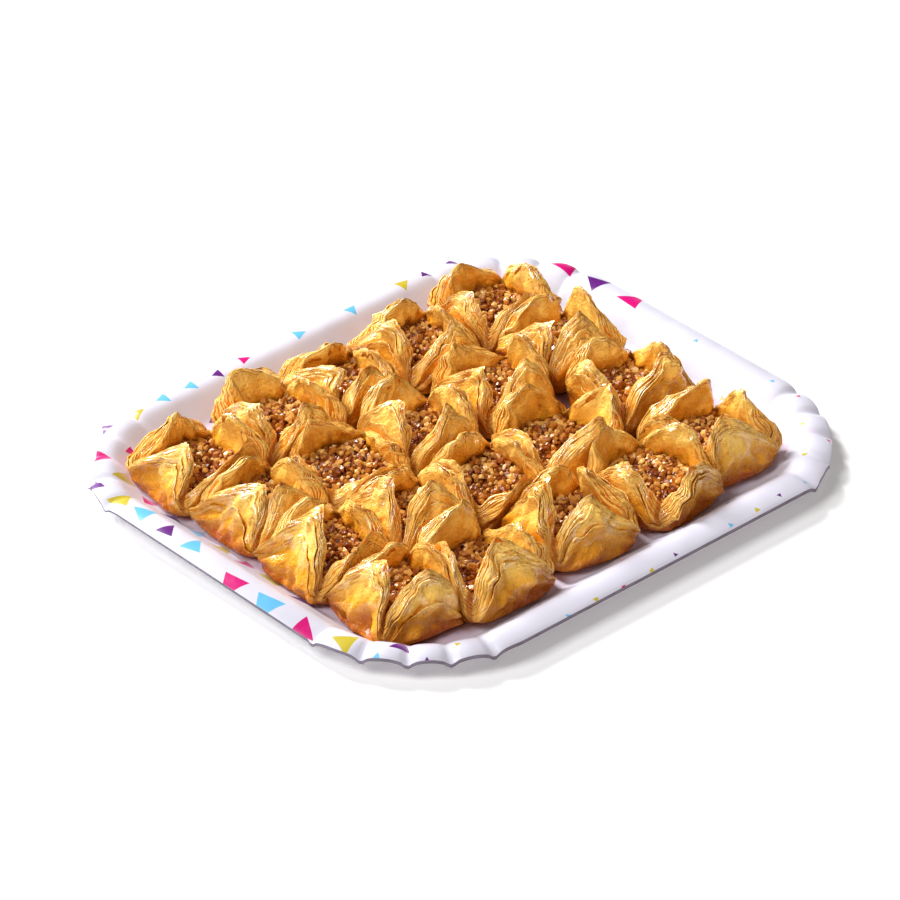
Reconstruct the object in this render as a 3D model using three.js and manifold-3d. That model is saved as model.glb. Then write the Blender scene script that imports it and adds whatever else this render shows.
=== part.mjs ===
// A rectangular party plate of pressed paperboard that holds twenty bird's nest baklava.
// Each nest is a square stack of thin pastry sheets. Its four corners are lifted into petals
// over the sides of a small square base, and chopped nuts fill the middle.
// Millimetres, +Z up. The origin is the middle of the plate's underside.

import * as THREE from 'three';
import { mergeVertices } from 'three/addons/utils/BufferGeometryUtils.js';
import Module from 'manifold-3d';

const wasm = await Module();
wasm.setup();

// Driving dimensions

const board = {
  halfLength: 140, // along X, to the outer edge
  halfWidth: 119.5, // along Y, to the outer edge
  cornerRadius: 60.6,
  thickness: 1.2,
  rimHeight: 12, // top of the rolled rim above the table
  flutesPerCorner: 5,
  stepsPerFlute: 6,
  stepsPerSide: 3,
  fluteDrop: 2.4, // how far the outer edge dips at a crease
  fluteReach: 1.3, // how far the outer edge stands out at a crease
};

// The plate's upper face from the outer edge inwards: run from the edge, and height.
const boardProfile = [
  [0, 9.6],
  [2.2, 11.4],
  [6.5, board.rimHeight],
  [11.5, 10.8],
  [14.5, 8],
  [20.5, board.thickness],
];

const pastry = {
  half: 22.5, // half the side of the base square
  squareness: 6, // exponent of the base outline
  footRound: 1.6,
  stack: 4.6, // thickness of the stack of sheets at its foot
  fan: 1.8, // how much thicker the stack is at its cut edge
  shoulder: 12, // height of the cut edge at the ends of a petal
  valley: 6.5, // height of the pinched fold between two petals
  pinchAngle: 10, // half width of the pinched fold, in degrees
  pinchReach: 4.5, // how far the pinched fold stands out
  tipRound: 0.12, // rounding of the petal's point
  belly: 1.1, // how far a petal's face swells
  innerRise: 0.5, // how much higher the inner sheets end
  innerValleyRise: 4, // and how much more in the pinched fold
  leanCurve: 1.2,
  crag: 1.1, // unevenness of the cut edge
  blister: 0.5, // unevenness of the outer face
};

const nuts = {
  height: 15, // top of the heap above the nest's underside
  bump: 0.7, // unevenness of the heap
  bits: 3, // larger pieces on each heap
  bitSize: 2.1, // mean radius of a larger piece
  spokes: 10,
};

const gap = 0.3; // clearance between pieces that touch
const squeeze = 2.4; // depth over which neighbours press each other flat

// The nests, by rows from the front edge of the plate to the back, and along +X in a row.
// For the petals on the +X, +Y, -X and -Y sides, rise is the height of the petal's point,
// lean is how far the point bends inwards and slide how far it stands to the side.
const nests = [
  { x: -92, y: -62, turn: -8, rise: [27, 25, 29, 29], lean: [9, 13, 12, 7], slide: [0, -4, 4, 2] },
  { x: -58, y: -72, turn: -2, rise: [27, 31, 28, 29], lean: [5, 4, 3, 8], slide: [-3, -6, -2, 0] },
  { x: -6, y: -72, turn: -10, rise: [28, 27, 32, 29], lean: [10, 8, 12, 8], slide: [4, 0, -3, 0] },
  { x: 40, y: -74, turn: 9, rise: [28, 28, 26, 25], lean: [6, -3, 2, 1], slide: [-1, 5, 0, -2] },
  { x: 78, y: -70, turn: -6, rise: [28, 30, 28, 29], lean: [4, 9, -1, 10], slide: [-2, -8, -6, -2] },
  { x: -93, y: -21, turn: -4, rise: [27, 27, 30, 26], lean: [8, 8, 12, -1], slide: [0, 0, 0, 6] },
  { x: -52, y: -26, turn: -8, rise: [27, 27, 31, 31], lean: [8, 8, 12, 13], slide: [0, 0, -1, 1] },
  { x: -11, y: -28, turn: -5, rise: [26, 27, 26, 24], lean: [10, 7, 3, -5], slide: [-1, 1, 2, 1] },
  { x: 30, y: -28, turn: -9, rise: [30, 30, 24, 30], lean: [-3, 1, 0, 4], slide: [-3, 3, 5, 8] },
  { x: 83, y: -18, turn: -6, rise: [28, 28, 28, 32], lean: [5, 5, 2, 6], slide: [-1, 2, -3, 9] },
  { x: -91, y: 22, turn: -3, rise: [27, 27, 27, 28], lean: [8, 8, 13, 8], slide: [0, 0, 9, -1] },
  { x: -47, y: 18, turn: -12, rise: [23, 27, 24, 24], lean: [7, 3, -10, -3], slide: [-8, 8, 0, 0] },
  { x: -8, y: 17, turn: -6, rise: [28, 30, 31, 30], lean: [4, 2, 12, 7], slide: [-1, 0, 0, 3] },
  { x: 41, y: 19, turn: -4, rise: [30, 27, 27, 30], lean: [7, 2, 9, 8], slide: [4, 8, 4, 3] },
  { x: 85, y: 28, turn: -5, rise: [30, 28, 27, 31], lean: [5, 8, 12, 10], slide: [5, -2, 8, 3] },
  { x: -91, y: 63, turn: -5, rise: [28, 27, 27, 27], lean: [4, 7, 12, -3], slide: [-1, 1, 6, 9] },
  { x: -43, y: 64, turn: -6, rise: [27, 28, 27, 27], lean: [8, 1, 6, 6], slide: [0, 9, 4, -2] },
  { x: -5, y: 68, turn: -8, rise: [24, 26, 26, 27], lean: [10, 10, 12, 5], slide: [-4, 0, 8, 1] },
  { x: 41, y: 69, turn: -6, rise: [26, 27, 28, 28], lean: [12, 7, 9, 3], slide: [1, 0, 2, 5] },
  { x: 86, y: 68, turn: -4, rise: [28, 27, 27, 27], lean: [3, 3, 6, 3], slide: [-1, 5, 3, 2] },
];

// Materials

function finish(color, roughness) {
  return new THREE.MeshStandardMaterial({ color, roughness, metalness: 0 });
}

// Shared helpers

const degrees = Math.PI / 180;
const lerp = THREE.MathUtils.lerp;

// A repeatable unevenness between -1 and 1.
function uneven(...keys) {
  const mixed = keys.reduce((sum, key, place) => sum + key * (12.9898 + 17.713 * place), 4.1);
  const wave = Math.sin(mixed) * 4375.85;
  return 2 * (wave - Math.floor(wave)) - 1;
}

// A closed solid through rings of points, from its underside outwards, up and in again.
function ringSolid(rings, bottom, top) {
  const count = rings[0].length;
  const points = [...rings.flat(), bottom, top];
  const triangles = [];
  for (let ring = 0; ring < rings.length - 1; ring += 1) {
    for (let place = 0; place < count; place += 1) {
      const next = (place + 1) % count;
      const low = ring * count;
      const high = low + count;
      triangles.push(low + place, low + next, high + next);
      triangles.push(low + place, high + next, high + place);
    }
  }
  const last = (rings.length - 1) * count;
  for (let place = 0; place < count; place += 1) {
    const next = (place + 1) % count;
    triangles.push(points.length - 2, next, place);
    triangles.push(points.length - 1, last + place, last + next);
  }
  const geometry = new THREE.BufferGeometry().setFromPoints(points);
  geometry.setIndex(triangles);
  return geometry;
}

function toManifold(geometry) {
  const bare = geometry.clone();
  bare.deleteAttribute('normal');
  bare.deleteAttribute('uv');
  const merged = mergeVertices(bare);
  return new wasm.Manifold(new wasm.Mesh({
    numProp: 3,
    vertProperties: new Float32Array(merged.attributes.position.array),
    triVerts: new Uint32Array(merged.index.array),
  }));
}

function fromManifold(solid) {
  const mesh = solid.getMesh();
  const geometry = new THREE.BufferGeometry();
  geometry.setAttribute('position', new THREE.BufferAttribute(mesh.vertProperties, 3));
  geometry.setIndex(new THREE.BufferAttribute(mesh.triVerts, 1));
  return geometry;
}

// Plate

// Stations round the outline: the centre of the corner arc, the outward direction, and
// the arch of the flute, which is 1 along the straight sides and 0 at a crease.
function plateStations() {
  const stations = [];
  const cornerSteps = board.flutesPerCorner * board.stepsPerFlute;
  for (let corner = 0; corner < 4; corner += 1) {
    const signX = corner === 0 || corner === 3 ? 1 : -1;
    const signY = corner < 2 ? 1 : -1;
    const centre = new THREE.Vector2(
      signX * (board.halfLength - board.cornerRadius),
      signY * (board.halfWidth - board.cornerRadius),
    );
    for (let step = 0; step <= cornerSteps; step += 1) {
      const share = step / cornerSteps;
      const angle = (corner + share) * 90 * degrees;
      const arch = Math.abs(Math.cos(share * board.flutesPerCorner * Math.PI));
      stations.push({ centre, way: new THREE.Vector2(Math.cos(angle), Math.sin(angle)), arch });
    }
    const turned = (corner + 1) * 90 * degrees;
    const way = new THREE.Vector2(Math.cos(turned), Math.sin(turned));
    const far = centre.clone();
    if (corner % 2 === 0) {
      far.x = -far.x;
    } else {
      far.y = -far.y;
    }
    for (let step = 1; step < board.stepsPerSide; step += 1) {
      stations.push({ centre: centre.clone().lerp(far, step / board.stepsPerSide), way, arch: 1 });
    }
  }
  return stations;
}

function plateRing(stations, run, height, drop) {
  const flutedRun = boardProfile[4][0];
  const share = Math.max(0, 1 - run / flutedRun);
  return stations.map(({ centre, way, arch }) => {
    const crease = (1 - arch) * share;
    const radius = board.cornerRadius - run + board.fluteReach * crease;
    const z = Math.max(height - board.fluteDrop * crease - drop, 0);
    return new THREE.Vector3(centre.x + way.x * radius, centre.y + way.y * radius, z);
  });
}

function makePlate() {
  const stations = plateStations();
  const inwards = boardProfile.map(([run, height]) => plateRing(stations, run, height, 0));
  const underside = boardProfile.map(([run, height]) => (
    plateRing(stations, run, height, board.thickness)
  ));
  const rings = [...underside.reverse(), ...inwards];
  return ringSolid(rings, new THREE.Vector3(0, 0, 0), new THREE.Vector3(0, 0, board.thickness));
}

// Nests

const squircle = (angle) => (
  (Math.abs(Math.cos(angle)) ** pastry.squareness + Math.abs(Math.sin(angle)) ** pastry.squareness)
  ** (-1 / pastry.squareness)
);

// Neighbours press each other flat along the line half way between them.
function pressFlat(nest, point) {
  nests.forEach((other) => {
    const away = new THREE.Vector2(other.x - nest.x, other.y - nest.y);
    const distance = away.length();
    if (other === nest || distance > 4 * pastry.half) {
      return;
    }
    away.divideScalar(distance);
    const wall = distance / 2 - gap / 2;
    const past = (point.x - nest.x) * away.x + (point.y - nest.y) * away.y - wall;
    if (past > -squeeze) {
      const shift = -squeeze * Math.exp(-(past + squeeze) / squeeze) - past;
      point.x += shift * away.x;
      point.y += shift * away.y;
    }
  });
}

// A point of a folded nest. The angle goes round the nest in degrees, level goes from the foot
// of the wall at 0 to its cut edge at 1, and depth from the outer sheet at 0 to the inner at 1.
function nestPoint(nest, angle, level, depth) {
  const side = Math.round(angle / 90);
  const offset = (angle - side * 90) * degrees;
  const across = Math.abs(Math.tan(offset));
  const rise = nest.rise[side % 4];
  const lean = nest.lean[side % 4];
  const slide = nest.slide[side % 4];
  const pinchWidth = pastry.pinchAngle * (1 - 0.55 * depth) * degrees;
  const pinch = Math.exp(-(((Math.PI / 4 - Math.abs(offset)) / pinchWidth) ** 2));
  const soft = pastry.tipRound;
  const slope = (Math.hypot(across, soft) - soft) / (Math.hypot(1, soft) - soft);
  const outerTop = lerp(rise, pastry.shoulder, slope) - (pastry.shoulder - pastry.valley) * pinch;
  const top = outerTop + depth * (pastry.innerRise + pastry.innerValleyRise * pinch);
  const floor = depth * pastry.stack;
  const z = lerp(floor, top, level);
  const share = z / rise;
  const body = 1 - across ** 2;

  const foot = pastry.footRound * Math.max(0, 1 - z / pastry.footRound) ** 2;
  const half = pastry.half - foot - depth * (pastry.stack + pastry.fan * level);
  const reach = Math.min(z / pastry.valley, 1.2) * (pastry.pinchReach + 2 * depth) * pinch;
  const radius = half * squircle(offset) + reach + pastry.belly * Math.sin(Math.PI * share) * body;
  const bend = share ** pastry.leanCurve * body;

  const turn = nest.turn * degrees;
  const facing = side * 90 * degrees + turn;
  const ahead = new THREE.Vector2(Math.cos(facing), Math.sin(facing));
  const bearing = angle * degrees + turn;
  const point = new THREE.Vector3(
    nest.x + radius * Math.cos(bearing) - bend * (lean * ahead.x + slide * ahead.y),
    nest.y + radius * Math.sin(bearing) - bend * (lean * ahead.y - slide * ahead.x),
    board.thickness + gap + z,
  );
  pressFlat(nest, point);
  return point;
}

const nestAngles = [0, 1, 2, 3].flatMap((side) => (
  [0, 18, 36, 45, 54, 72].map((angle) => side * 90 + angle)
));

function nestRing(nest, index, level, depth, unevenness) {
  return nestAngles.map((angle, place) => {
    const point = nestPoint(nest, angle, level, depth);
    point.z += unevenness * uneven(index, place, level + depth);
    return point;
  });
}

function makeNest(nest, index) {
  const rings = [
    nestRing(nest, index, 0, 0, 0),
    nestRing(nest, index, 0.25, 0, 0),
    nestRing(nest, index, 0.65, 0, pastry.blister),
    nestRing(nest, index, 1, 0, pastry.blister),
    nestRing(nest, index, 1, 0.5, pastry.crag),
    nestRing(nest, index, 1, 1, pastry.blister),
    nestRing(nest, index, 0.5, 1, 0),
    nestRing(nest, index, 0, 1, 0),
  ];
  const underside = board.thickness + gap;
  const bottom = new THREE.Vector3(nest.x, nest.y, underside);
  const top = new THREE.Vector3(nest.x, nest.y, underside + pastry.stack);
  return ringSolid(rings, bottom, top);
}

// Nuts

// A ring of the heap keeps to a share of the nest's inner wall.
function heapRing(nest, index, height, fill) {
  const spoke = 360 / nuts.spokes;
  return Array.from({ length: nuts.spokes }, (_, place) => {
    const angle = place * spoke;
    const floor = nestPoint(nest, angle, 0, 1);
    const edge = nestPoint(nest, angle, 1, 1);
    const underside = board.thickness + gap;
    const share = (underside + height - floor.z) / (edge.z - floor.z);
    const wall = nestPoint(nest, angle, THREE.MathUtils.clamp(share, 0, 1), 1);
    const bump = nuts.bump * uneven(index, place, height);
    const reach = fill + 0.05 * bump;
    return new THREE.Vector3(
      lerp(nest.x, wall.x, reach),
      lerp(nest.y, wall.y, reach),
      underside + height + bump,
    );
  });
}

function makeNuts(nest, index) {
  const floor = pastry.stack + gap;
  const underside = board.thickness + gap;
  const rings = [
    heapRing(nest, index, floor + nuts.bump, 0.8),
    heapRing(nest, index, floor + 3.6, 0.86),
    heapRing(nest, index, floor + 7, 0.72),
    heapRing(nest, index, floor + 9.4, 0.4),
  ];
  const bottom = new THREE.Vector3(nest.x, nest.y, underside + floor);
  const top = new THREE.Vector3(nest.x, nest.y, underside + nuts.height);
  let heap = toManifold(ringSolid(rings, bottom, top));
  for (let bit = 0; bit < nuts.bits; bit += 1) {
    const bearing = (bit / nuts.bits) * 2 * Math.PI + uneven(index, bit, 1);
    const reach = 4.5 + 1.5 * uneven(index, bit, 2);
    const size = nuts.bitSize * (1 + 0.25 * uneven(index, bit, 3));
    const piece = new THREE.OctahedronGeometry(size);
    piece.scale(1.2, 1, 0.85);
    piece.rotateZ(bearing * 3);
    piece.rotateX(uneven(index, bit, 4));
    piece.translate(
      nest.x + reach * Math.cos(bearing),
      nest.y + reach * Math.sin(bearing),
      underside + nuts.height - 0.25 * reach,
    );
    heap = heap.add(toManifold(piece));
  }
  return fromManifold(heap);
}

// Assembly

const group = new THREE.Group();

function addPiece(name, geometry, material) {
  const mesh = new THREE.Mesh(geometry, material);
  mesh.name = name;
  group.add(mesh);
}

addPiece('plate', makePlate(), finish(0xf4f0f6, 0.35));
nests.forEach((nest, index) => {
  const number = String(index + 1).padStart(2, '0');
  addPiece(`nest_${number}`, makeNest(nest, index), finish(0xdd9c45, 0.4));
  addPiece(`nuts_${number}`, makeNuts(nest, index), finish(0xa66a35, 0.6));
});

export default group;
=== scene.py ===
import math
import bpy
import numpy as np
from mathutils import Matrix, Vector


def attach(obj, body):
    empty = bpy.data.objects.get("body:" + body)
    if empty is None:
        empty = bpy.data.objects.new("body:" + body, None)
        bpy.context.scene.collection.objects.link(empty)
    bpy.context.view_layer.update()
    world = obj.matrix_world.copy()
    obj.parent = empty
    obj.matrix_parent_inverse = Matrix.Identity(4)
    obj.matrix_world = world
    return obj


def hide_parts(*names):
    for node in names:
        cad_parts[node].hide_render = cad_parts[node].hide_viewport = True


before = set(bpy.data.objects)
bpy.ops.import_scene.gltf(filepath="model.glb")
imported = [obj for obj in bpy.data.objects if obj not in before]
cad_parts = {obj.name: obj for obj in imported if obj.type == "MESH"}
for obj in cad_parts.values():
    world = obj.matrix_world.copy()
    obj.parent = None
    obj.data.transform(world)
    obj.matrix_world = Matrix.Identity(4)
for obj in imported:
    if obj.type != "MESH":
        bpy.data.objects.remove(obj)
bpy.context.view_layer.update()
bpy.ops.object.select_all(action="DESELECT")
print("frame loaded")

millimetre = 0.001


# Small helpers

def linear(red, green, blue):
    # a screen colour from 0 to 255 as the linear colour that the shaders take
    shares = [value / 255 for value in (red, green, blue)]
    return tuple(s / 12.92 if s <= 0.04045 else ((s + 0.055) / 1.055) ** 2.4 for s in shares) + (1,)


def ripple(points, size, seed, waves=10):
    # smooth unevenness of points in millimetres, mostly between -1 and 1, in lumps of a size
    draw = np.random.default_rng(seed)
    ways = draw.normal(size=(3, waves))
    ways *= draw.uniform(0.6, 1.5, waves) * math.pi / size / np.linalg.norm(ways, axis=0)
    phases = draw.uniform(0, 2 * math.pi, waves)
    return np.sin(points @ ways + phases).sum(axis=1) / math.sqrt(waves)


def readPoints(piece):
    places = np.empty(len(piece.data.vertices) * 3)
    piece.data.vertices.foreach_get("co", places)
    return places.reshape(-1, 3)


def writePoints(piece, points):
    piece.data.vertices.foreach_set("co", points.ravel())
    piece.data.update()


def editAll():
    bpy.ops.object.mode_set(mode="EDIT")
    bpy.ops.mesh.select_all(action="SELECT")


def joinPieces(pieces, name):
    bpy.ops.object.select_all(action="DESELECT")
    for piece in pieces:
        piece.select_set(True)
    bpy.context.view_layer.objects.active = pieces[0]
    bpy.ops.object.join()
    joined = bpy.context.object
    joined.name = joined.data.name = name
    bpy.ops.object.select_all(action="DESELECT")
    return joined


# Shader helpers

def setInputs(tree, node, inputs):
    # each socket, by its name or place, takes a link or a value
    for socket, value in inputs.items():
        if isinstance(value, bpy.types.NodeSocket):
            tree.links.new(value, node.inputs[socket])
        else:
            node.inputs[socket].default_value = value


def addNode(tree, kind, *inputs, **settings):
    # inputs go to the node's sockets in order
    made = tree.nodes.new(kind)
    for name, value in settings.items():
        setattr(made, name, value)
    setInputs(tree, made, dict(enumerate(inputs)))
    return made


def attribute(tree, name):
    return addNode(tree, "ShaderNodeAttribute", attribute_name=name).outputs["Fac"]


def sums(tree, operation, *inputs):
    return addNode(tree, "ShaderNodeMath", *inputs, operation=operation).outputs[0]


def vectors(tree, operation, *inputs):
    return addNode(tree, "ShaderNodeVectorMath", *inputs, operation=operation).outputs[0]


def spread(tree, value, low, high, toLow=0.0, toHigh=1.0):
    # a value between low and high, spread smoothly over another range
    made = addNode(tree, "ShaderNodeMapRange", value, low, high, toLow, toHigh,
                   interpolation_type="SMOOTHSTEP")
    return made.outputs[0]


def mixColours(tree, share, first, second):
    made = addNode(tree, "ShaderNodeMix", share, data_type="RGBA")
    setInputs(tree, made, {6: first, 7: second})
    return made.outputs[2]


def ramp(tree, value, stops, interpolation="LINEAR"):
    made = addNode(tree, "ShaderNodeValToRGB", value)
    made.color_ramp.interpolation = interpolation
    elements = made.color_ramp.elements
    while len(elements) < len(stops):
        elements.new(0.5)
    for element, (place, colour) in zip(elements, stops):
        element.position = place
        element.color = colour
    return made.outputs[0]


def noise(tree, vector, scale, detail=2.0, roughness=0.5, distortion=0.0):
    made = tree.nodes.new("ShaderNodeTexNoise")
    setInputs(tree, made, {"Vector": vector, "Scale": scale, "Detail": detail,
                           "Roughness": roughness, "Distortion": distortion})
    return made.outputs["Fac"]


def bump(tree, height, distance):
    made = tree.nodes.new("ShaderNodeBump")
    setInputs(tree, made, {"Distance": distance, "Height": height})
    return made.outputs[0]


def newMaterial(name):
    material = bpy.data.materials.new(name)
    material.use_nodes = True
    tree = material.node_tree
    return material, tree, tree.nodes["Principled BSDF"]


def newGroup(name, inputs, outputs):
    group = bpy.data.node_groups.new(name, "ShaderNodeTree")
    for direction, sockets in (("INPUT", inputs), ("OUTPUT", outputs)):
        for title, kind in sockets:
            group.interface.new_socket(title, in_out=direction, socket_type=f"NodeSocket{kind}")
    return group, group.nodes.new("NodeGroupInput").outputs, group.nodes.new("NodeGroupOutput")


def useGroup(tree, group, **inputs):
    made = tree.nodes.new("ShaderNodeGroup")
    made.node_tree = group
    setInputs(tree, made, inputs)
    return made.outputs


# Camera, light and floor

studio = {
    "target": (-0.0075, -0.0018, 0.012),  # what the camera looks at
    "distance": 1.6898,
    "azimuth": -43.3,
    "elevation": 33.3,
    "lens": 160,
    "sky": 0.11,  # how bright the sky is as a light
    "shine": 0.04,  # how bright the sky is in reflections
    "floor": (0.93, 0.93, 0.93, 1),
    "floorGlow": 0.17,
    # place, width, height, watts and colour
    "lights": [((-0.05, 1.75, 1.3), 0.4, 1.3, 86, (1, 1, 1)),
               ((-1.7, 0.3, 2.1), 1.2, 1.2, 50, (1, 1, 1)),
               ((0.0, -1.3, 2.3), 1.2, 0.9, 4, (1, 0.97, 1)),
               ((0.6, -1.7, 0.7), 1.4, 0.8, 2.8, (1, 0.66, 0.34))],
}


def makeStudio():
    azimuth = math.radians(studio["azimuth"])
    elevation = math.radians(studio["elevation"])
    back = Vector((math.sin(azimuth) * math.cos(elevation),
                   -math.cos(azimuth) * math.cos(elevation), math.sin(elevation)))
    target = Vector(studio["target"])
    bpy.ops.object.camera_add(location=target + back * studio["distance"])
    camera = bpy.context.object
    camera.rotation_mode = "QUATERNION"
    camera.rotation_quaternion = (-back).to_track_quat("-Z", "Y")
    camera.data.lens = studio["lens"]
    camera.data.clip_start = 0.1
    camera.data.clip_end = 20
    bpy.context.scene.camera = camera

    for place, width, height, watts, colour in studio["lights"]:
        bpy.ops.object.light_add(type="AREA", location=place)
        light = bpy.context.object
        light.rotation_euler = (-Vector(place)).to_track_quat("-Z", "Y").to_euler()
        light.data.shape = "RECTANGLE"
        light.data.size = width
        light.data.size_y = height
        light.data.energy = watts
        light.data.color = colour

    world = bpy.data.worlds.new("studio")
    world.use_nodes = True
    tree = world.node_tree
    glossy = tree.nodes.new("ShaderNodeLightPath").outputs["Is Glossy Ray"]
    strength = spread(tree, glossy, 0.0, 1.0, studio["sky"], studio["shine"])
    setInputs(tree, tree.nodes["Background"], {"Strength": strength, "Color": (1, 1, 1, 1)})
    bpy.context.scene.world = world
    bpy.context.scene.view_settings.view_transform = "Standard"

    bpy.ops.mesh.primitive_plane_add(size=8, location=(0, 0, -0.0004))
    floor = bpy.context.object
    floor.name = "floor"
    material, tree, shader = newMaterial("paleFloor")
    setInputs(tree, shader, {"Base Color": studio["floor"], "Roughness": 0.9,
                             "Specular IOR Level": 0.1, "Emission Color": (1, 1, 1, 1),
                             "Emission Strength": studio["floorGlow"]})
    floor.data.materials.append(material)


makeStudio()
print("studio made")


# Print and finish of the plate

confetti = {
    "colours": [linear(96, 30, 118), linear(200, 10, 112), linear(98, 178, 220),
                linear(190, 172, 50)],
    "paper": linear(207, 205, 218),
    "bounceTint": linear(226, 200, 220),  # painted light bounced from the pastries, near them
    "syrup": linear(120, 52, 6),  # under them: syrup, and painted contact shade at their feet
    "cell": 0.0155,  # side of the square in which a triangle lies
    "small": 0.05,  # size of a triangle as a share of its cell, on the sparse sides
    "large": 0.2,
    "middling": 0.5,  # share of the way between the two, along the back
    "shown": 0.92,  # share of the cells that have one
    "shift": (0, 0.004, 0),
    "jitter": (0.1, 0.1, 0),
    # two places where they are larger, and how far each reaches
    "bursts": [((-0.136, -0.03), 0.03), ((0.132, 0.062), 0.036)],
    "burstMargin": 0.008,
    "wideCell": 0.021,
    "wide": 0.2,
    "laid": (0.1125, 0.0915),  # half the length and width of the laid pastries
    # metres past the laid pastries, and strength: of the painted bounce light, and of the syrup and
    # painted contact shade under them
    "bounceTintReach": (0.001, 0.009, 0.6, 0.0),
    "syrupAndShadeReach": (-0.006, -0.001, 0.8, 0.0),
    "roughness": (0.28, 0.42),
    "specular": 0.3,
    "coat": 0.06,
    "coatRoughness": 0.1,
    "relief": 0.0008,
}


def paletteRamp(tree, value):
    stops = [(place / 4, colour) for place, colour in enumerate(confetti["colours"])]
    return ramp(tree, value, stops, "CONSTANT")


def makeConfettiGroup():
    # triangles strewn one to a cell, each turned and coloured by chance
    group, given, result = newGroup(
        "strewnTriangles",
        [("Vector", "Vector"), ("Size", "Float"), ("Shown", "Float")],
        [("Color", "Color"), ("Mask", "Float"), ("Middle", "Vector")],
    )
    cell = vectors(group, "FLOOR", given["Vector"])
    chance = addNode(group, "ShaderNodeTexWhiteNoise", cell)
    parts = addNode(group, "ShaderNodeSeparateXYZ", chance.outputs["Color"]).outputs
    local = vectors(group, "SUBTRACT", vectors(group, "FRACTION", given["Vector"]), (0.5, 0.5, 0))
    flat = vectors(group, "MULTIPLY", local, (1, 1, 0))
    jitter = vectors(group, "SUBTRACT", chance.outputs["Color"], (0.5, 0.5, 0.5))
    moved = vectors(group, "SUBTRACT", flat, vectors(group, "MULTIPLY", jitter, confetti["jitter"]))
    turned = addNode(group, "ShaderNodeVectorRotate", moved, rotation_type="Z_AXIS")
    setInputs(group, turned, {"Angle": sums(group, "MULTIPLY", parts[2], 6.3)})
    sides = []
    for side in range(3):
        way = math.radians(120 * side)
        product = addNode(group, "ShaderNodeVectorMath", turned.outputs[0],
                          (math.cos(way), math.sin(way), 0), operation="DOT_PRODUCT")
        sides.append(product.outputs["Value"])
    far = sums(group, "MAXIMUM", sums(group, "MAXIMUM", sides[0], sides[1]), sides[2])
    own = sums(group, "MULTIPLY", given["Size"], sums(group, "MULTIPLY_ADD", parts[0], 0.3, 0.8))
    inside = sums(group, "LESS_THAN", far, own)
    there = sums(group, "LESS_THAN", parts[1], given["Shown"])
    setInputs(group, result, {
        "Color": paletteRamp(group, chance.outputs["Value"]),
        "Mask": sums(group, "MULTIPLY", inside, there),
        "Middle": vectors(group, "ADD", cell, (0.5, 0.5, 0)),
    })
    return group


def nearBurst(tree, middle, cell, margin):
    # whether the middle of a cell lies in one of the two places with larger triangles
    flat = vectors(tree, "MULTIPLY", middle, (cell, cell, 0))
    inside = []
    for spot, reach in confetti["bursts"]:
        distance = addNode(tree, "ShaderNodeVectorMath", flat, (*spot, 0), operation="DISTANCE")
        inside.append(sums(tree, "LESS_THAN", distance.outputs["Value"], reach + margin))
    return sums(tree, "MAXIMUM", *inside)


def makePrintedBoard():
    material, tree, shader = newMaterial("printedBoard")
    place = tree.nodes.new("ShaderNodeTexCoord").outputs["Object"]
    parts = addNode(tree, "ShaderNodeSeparateXYZ", place).outputs
    # the print is bold at -X, less so at +Y, and sparse on the other sides
    bold = sums(tree, "MAXIMUM", spread(tree, parts[0], -0.122, -0.1, 1.0, 0.0),
                spread(tree, parts[1], 0.08, 0.1, 0.0, confetti["middling"]))
    size = sums(tree, "MULTIPLY_ADD", bold, confetti["large"] - confetti["small"],
                confetti["small"])
    shifted = vectors(tree, "ADD", place, confetti["shift"])
    scaled = vectors(tree, "MULTIPLY", shifted, (1 / confetti["cell"],) * 3)
    confettiGroup = makeConfettiGroup()
    strewn = useGroup(tree, confettiGroup, Vector=scaled, Size=size, Shown=confetti["shown"])
    # and in two places the triangles are larger
    wide = vectors(tree, "MULTIPLY", place, (1 / confetti["wideCell"],) * 3)
    larger = useGroup(tree, confettiGroup, Vector=wide, Size=confetti["wide"], Shown=1.0)
    cleared = nearBurst(tree, strewn["Middle"], confetti["cell"], confetti["burstMargin"])
    apart = sums(tree, "SUBTRACT", 1.0, cleared)
    near = nearBurst(tree, larger["Middle"], confetti["wideCell"], 0.0)
    printed = sums(tree, "MULTIPLY", strewn["Mask"], apart)
    colour = mixColours(tree, printed, confetti["paper"], strewn["Color"])
    colour = mixColours(tree, sums(tree, "MULTIPLY", larger["Mask"], near), colour, larger["Color"])
    # syrup has run out under the pastries, and its dark colour also paints contact shade at their
    # feet
    across = sums(tree, "SUBTRACT", sums(tree, "ABSOLUTE", parts[0]), confetti["laid"][0])
    along = sums(tree, "SUBTRACT", sums(tree, "ABSOLUTE", parts[1]), confetti["laid"][1])
    past = sums(tree, "ADD", sums(tree, "MAXIMUM", across, along),
                sums(tree, "MULTIPLY", noise(tree, place, 90), 0.004))
    # painted light bounced from the pastries tints the plate beside them
    bounceShare = spread(tree, past, *confetti["bounceTintReach"])
    colour = mixColours(tree, bounceShare, colour, confetti["bounceTint"])
    under = spread(tree, past, *confetti["syrupAndShadeReach"])
    colour = mixColours(tree, under, colour, confetti["syrup"])
    grain = noise(tree, place, 900, detail=3)
    waves = noise(tree, place, 60, detail=1)
    setInputs(tree, shader, {
        "Base Color": colour,
        "Roughness": spread(tree, grain, 0.3, 0.7, *confetti["roughness"]),
        "Normal": bump(tree, waves, confetti["relief"]),
        "Specular IOR Level": confetti["specular"],
        "Coat Weight": confetti["coat"],
        "Coat Roughness": confetti["coatRoughness"],
    })
    return material


def makeBareBoard(name, colour, stretch):
    material, tree, shader = newMaterial(name)
    place = tree.nodes.new("ShaderNodeTexCoord").outputs["Object"]
    fibres = noise(tree, vectors(tree, "MULTIPLY", place, stretch), 1400, detail=4, roughness=0.7)
    shade = mixColours(tree, spread(tree, fibres, 0.3, 0.7), colour,
                       tuple(part * 0.6 for part in colour[:3]) + (1,))
    setInputs(tree, shader, {"Base Color": shade, "Normal": bump(tree, fibres, 0.0002),
                             "Roughness": 0.8})
    return material


# Plate

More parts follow.
